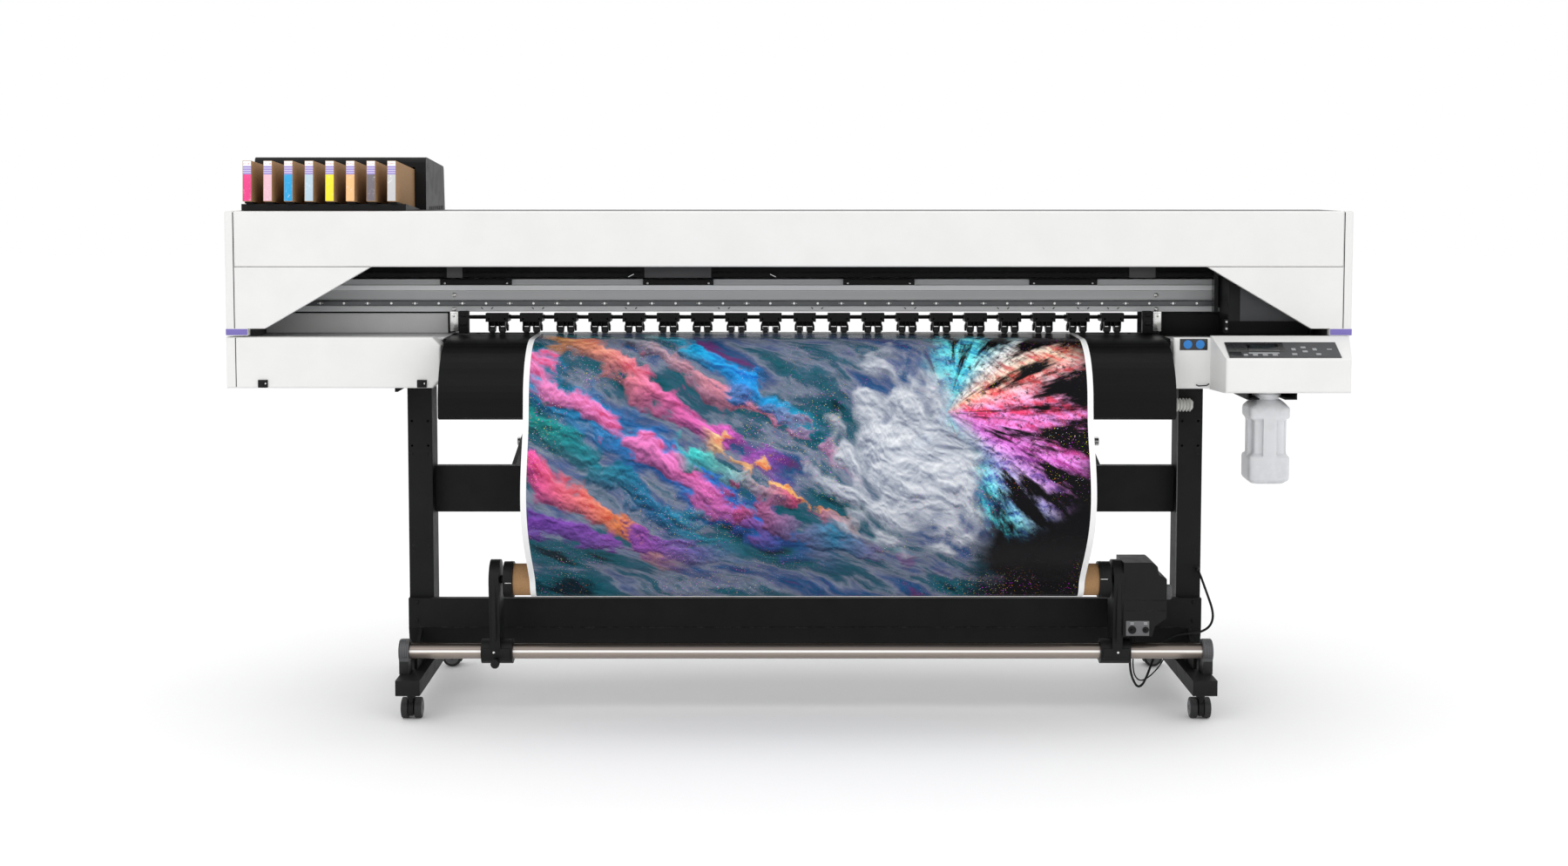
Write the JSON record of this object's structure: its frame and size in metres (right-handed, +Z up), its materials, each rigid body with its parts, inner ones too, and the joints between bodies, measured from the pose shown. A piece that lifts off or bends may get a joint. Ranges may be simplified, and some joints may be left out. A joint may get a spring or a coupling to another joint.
{
  "type": "wide-format roll-to-roll inkjet printer",
  "caption": "Wide roll-fed sign printer on a castered stand, with ink cartons in a top unit and a motor take-up roll.",
  "frame": {"origin": "middle of the printer's footprint, on the floor", "axes": "+X to the printer's right as seen from the front, +Y to its back, +Z up"},
  "size_m": [2.775, 0.81, 1.3953],
  "materials": {
    "cover_white": "moulded, fine texture",
    "lid_dark": "satin paint, white towards the back",
    "frame_black": "fine textured powder coat",
    "frame_steel": "satin",
    "rail_steel": "polished",
    "clamp_grey": "cast, painted grey",
    "guide_black": "hard anodised, semi-gloss",
    "beam_aluminium": "extruded, anodised",
    "bearing_rail": "ground",
    "rubber_black": "matt",
    "tyre_rubber": "matt",
    "plastic_black": "moulded, fine grain",
    "film_print": "printed vinyl film",
    "film_white": "unprinted vinyl film",
    "card_brown": "spiral-wound card",
    "carton": "folded kraft card, coloured front",
    "key_grey": "soft touch",
    "panel_dark": "satin film",
    "bottle_clear": "translucent, blow moulded",
    "hose_white": "ribbed",
    "cable_black": "satin sheath",
    "roller_rubber": "matt",
    "steel_bright": "ground"
  },
  "bodies": {
    "root": {"left_stand_leg": "frame_black", "right_stand_leg": "frame_black", "upper_cross_beam": "frame_black", "lower_cross_beam": "frame_black", "takeup_rail": "rail_steel", "rail_end_clamps": "clamp_grey", "base_frame": "frame_steel", "platen": "guide_black", "front_guide": "guide_black", "rear_guide": "guide_black", "media_web": "film_print", "y_bar": "beam_aluminium", "linear_rail": "bearing_rail", "drive_belt": "rubber_black", "top_cover": "lid_dark", "left_end_cover": "cover_white", "right_end_cover": "cover_white", "corner_covers": "cover_white", "panel_housing": "cover_white", "panel_face": "panel_dark", "ink_housing": "plastic_black", "takeup_drive": "plastic_black", "supply_brackets": "frame_black", "bottle_holder": "frame_black", "drain_hose": "hose_white", "power_cable": "cable_black", "sensor_cable": "cable_black"},
    "carriage": {"carriage": "plastic_black"},
    "drive_pulley": {"drive_pulley": "steel_bright"},
    "idler_pulley": {"idler_pulley": "steel_bright"},
    "grit_roller": {"grit_roller": "steel_bright"},
    "pinch_lift": {"pinch_arms": "plastic_black"},
    "pinch_rollers": {"pinch_rollers": "roller_rubber"},
    "clamp_lever": {"clamp_lever": "plastic_black"},
    "front_cover": {"front_cover": "cover_white"},
    "left_lower_cover": {"left_lower_cover": "cover_white"},
    "panel_keys": {"panel_keys": "key_grey"},
    "takeup_arm": {"takeup_arm_left": "plastic_black"},
    "left_core_holder": {"core_holder_left": "plastic_black"},
    "takeup_roll": {"takeup_roll": "card_brown", "core_holder_right": "plastic_black"},
    "drive_knob": {"drive_knob": "clamp_grey"},
    "supply_roll": {"supply_roll": "film_white"},
    "waste_bottle": {"waste_bottle": "bottle_clear"},
    "ink_case_1": {"ink_case_1": "carton"},
    "ink_case_2": {"ink_case_2": "carton"},
    "ink_case_3": {"ink_case_3": "carton"},
    "ink_case_4": {"ink_case_4": "carton"},
    "ink_case_5": {"ink_case_5": "carton"},
    "ink_case_6": {"ink_case_6": "carton"},
    "ink_case_7": {"ink_case_7": "carton"},
    "ink_case_8": {"ink_case_8": "carton"},
    "caster_front_left": {"caster_front_left": "plastic_black"},
    "wheels_front_left": {"wheels_front_left": "tyre_rubber"},
    "caster_front_right": {"caster_front_right": "plastic_black"},
    "wheels_front_right": {"wheels_front_right": "tyre_rubber"},
    "caster_rear_left": {"caster_rear_left": "plastic_black"},
    "wheels_rear_left": {"wheels_rear_left": "tyre_rubber"},
    "caster_rear_right": {"caster_rear_right": "plastic_black"},
    "wheels_rear_right": {"wheels_rear_right": "tyre_rubber"}
  },
  "joints": [
    {"name": "carriage_slide", "type": "slide", "parent": "root", "child": "carriage", "axis": [1, 0, 0], "range_m": [-2.25, 0.02]},
    {"name": "drive_pulley_spin", "type": "hinge", "parent": "root", "child": "drive_pulley", "pos_m": [-1.275, 0.06, 1.093], "axis": [0, 0, 1], "continuous": true},
    {"name": "idler_pulley_spin", "type": "hinge", "parent": "root", "child": "idler_pulley", "pos_m": [1.305, 0.06, 1.093], "axis": [0, 0, 1], "continuous": true},
    {"name": "grit_roller_spin", "type": "hinge", "parent": "root", "child": "grit_roller", "pos_m": [0, 0.01, 0.9324], "axis": [1, 0, 0], "continuous": true},
    {"name": "clamp_lever_turn", "type": "hinge", "parent": "root", "child": "clamp_lever", "pos_m": [-0.879, 0.15, 0.95], "axis": [-1, 0, 0], "range_deg": [0, 40]},
    {"name": "pinch_lift", "type": "hinge", "parent": "root", "child": "pinch_lift", "pos_m": [0, 0.05, 0.984], "axis": [-1, 0, 0], "range_deg": [0, 7]},
    {"name": "pinch_roller_spin", "type": "hinge", "parent": "pinch_lift", "child": "pinch_rollers", "pos_m": [0, 0.01, 0.9538], "axis": [1, 0, 0], "continuous": true},
    {"name": "front_cover_hinge", "type": "hinge", "parent": "root", "child": "front_cover", "pos_m": [0, -0.188, 1.25], "axis": [-1, 0, 0], "range_deg": [0, 80]},
    {"name": "left_lower_cover_hinge", "type": "hinge", "parent": "root", "child": "left_lower_cover", "pos_m": [-1.122, -0.192, 0.834], "axis": [1, 0, 0], "range_deg": [0, 80]},
    {"name": "panel_key_press", "type": "slide", "parent": "root", "child": "panel_keys", "axis": [0, 0.44, -0.898], "range_m": [0, 0.001], "stiffness_N_per_m": 800, "springref_m": -0.0005},
    {"name": "takeup_arm_slide", "type": "slide", "parent": "root", "child": "takeup_arm", "axis": [1, 0, 0], "range_m": [-0.14, 0]},
    {"name": "left_core_holder_spin", "type": "hinge", "parent": "takeup_arm", "child": "left_core_holder", "pos_m": [-0.7, -0.18, 0.344], "axis": [1, 0, 0], "continuous": true},
    {"name": "takeup_roll_spin", "type": "hinge", "parent": "root", "child": "takeup_roll", "pos_m": [0, -0.18, 0.344], "axis": [1, 0, 0], "continuous": true},
    {"name": "drive_knob_turn", "type": "hinge", "parent": "root", "child": "drive_knob", "pos_m": [0.945, -0.18, 0.312], "axis": [1, 0, 0], "continuous": true},
    {"name": "supply_roll_spin", "type": "hinge", "parent": "root", "child": "supply_roll", "pos_m": [0, 0.33, 0.625], "axis": [1, 0, 0], "continuous": true},
    {"name": "waste_bottle_slide", "type": "slide", "parent": "root", "child": "waste_bottle", "axis": [0, -1, 0], "range_m": [0, 0.16]},
    {"name": "ink_case_1_slide", "type": "slide", "parent": "root", "child": "ink_case_1", "axis": [0, -0.9971, 0.0767], "range_m": [0, 0.3]},
    {"name": "ink_case_2_slide", "type": "slide", "parent": "root", "child": "ink_case_2", "axis": [0, -0.9971, 0.0767], "range_m": [0, 0.3]},
    {"name": "ink_case_3_slide", "type": "slide", "parent": "root", "child": "ink_case_3", "axis": [0, -0.9971, 0.0767], "range_m": [0, 0.3]},
    {"name": "ink_case_4_slide", "type": "slide", "parent": "root", "child": "ink_case_4", "axis": [0, -0.9971, 0.0767], "range_m": [0, 0.3]},
    {"name": "ink_case_5_slide", "type": "slide", "parent": "root", "child": "ink_case_5", "axis": [0, -0.9971, 0.0767], "range_m": [0, 0.3]},
    {"name": "ink_case_6_slide", "type": "slide", "parent": "root", "child": "ink_case_6", "axis": [0, -0.9971, 0.0767], "range_m": [0, 0.3]},
    {"name": "ink_case_7_slide", "type": "slide", "parent": "root", "child": "ink_case_7", "axis": [0, -0.9971, 0.0767], "range_m": [0, 0.3]},
    {"name": "ink_case_8_slide", "type": "slide", "parent": "root", "child": "ink_case_8", "axis": [0, -0.9971, 0.0767], "range_m": [0, 0.3]},
    {"name": "caster_front_left_swivel", "type": "hinge", "parent": "root", "child": "caster_front_left", "pos_m": [-0.938, -0.22, 0.056], "axis": [0, 0, 1], "continuous": true},
    {"name": "wheels_front_left_roll", "type": "hinge", "parent": "caster_front_left", "child": "wheels_front_left", "pos_m": [-0.938, -0.204, 0.026], "axis": [1, 0, 0], "continuous": true},
    {"name": "caster_front_right_swivel", "type": "hinge", "parent": "root", "child": "caster_front_right", "pos_m": [1.024, -0.22, 0.056], "axis": [0, 0, 1], "continuous": true},
    {"name": "wheels_front_right_roll", "type": "hinge", "parent": "caster_front_right", "child": "wheels_front_right", "pos_m": [1.024, -0.204, 0.026], "axis": [1, 0, 0], "continuous": true},
    {"name": "caster_rear_left_swivel", "type": "hinge", "parent": "root", "child": "caster_rear_left", "pos_m": [-0.938, 0.36, 0.056], "axis": [0, 0, 1], "continuous": true},
    {"name": "wheels_rear_left_roll", "type": "hinge", "parent": "caster_rear_left", "child": "wheels_rear_left", "pos_m": [-0.922, 0.36, 0.026], "axis": [0, 1, 0], "continuous": true},
    {"name": "caster_rear_right_swivel", "type": "hinge", "parent": "root", "child": "caster_rear_right", "pos_m": [1.024, 0.36, 0.056], "axis": [0, 0, 1], "continuous": true},
    {"name": "wheels_rear_right_roll", "type": "hinge", "parent": "caster_rear_right", "child": "wheels_rear_right", "pos_m": [1.008, 0.36, 0.026], "axis": [0, 1, 0], "continuous": true}
  ],
  "couplings": [
    {"joint": "drive_pulley_spin", "follows": "carriage_slide", "rad_per_m": 64.516},
    {"joint": "idler_pulley_spin", "follows": "carriage_slide", "rad_per_m": 64.516},
    {"joint": "pinch_lift", "follows": "clamp_lever_turn", "ratio": 0.175},
    {"joint": "pinch_roller_spin", "follows": "grit_roller_spin", "ratio": -1.525},
    {"joint": "left_core_holder_spin", "follows": "takeup_roll_spin", "ratio": 1}
  ]
}
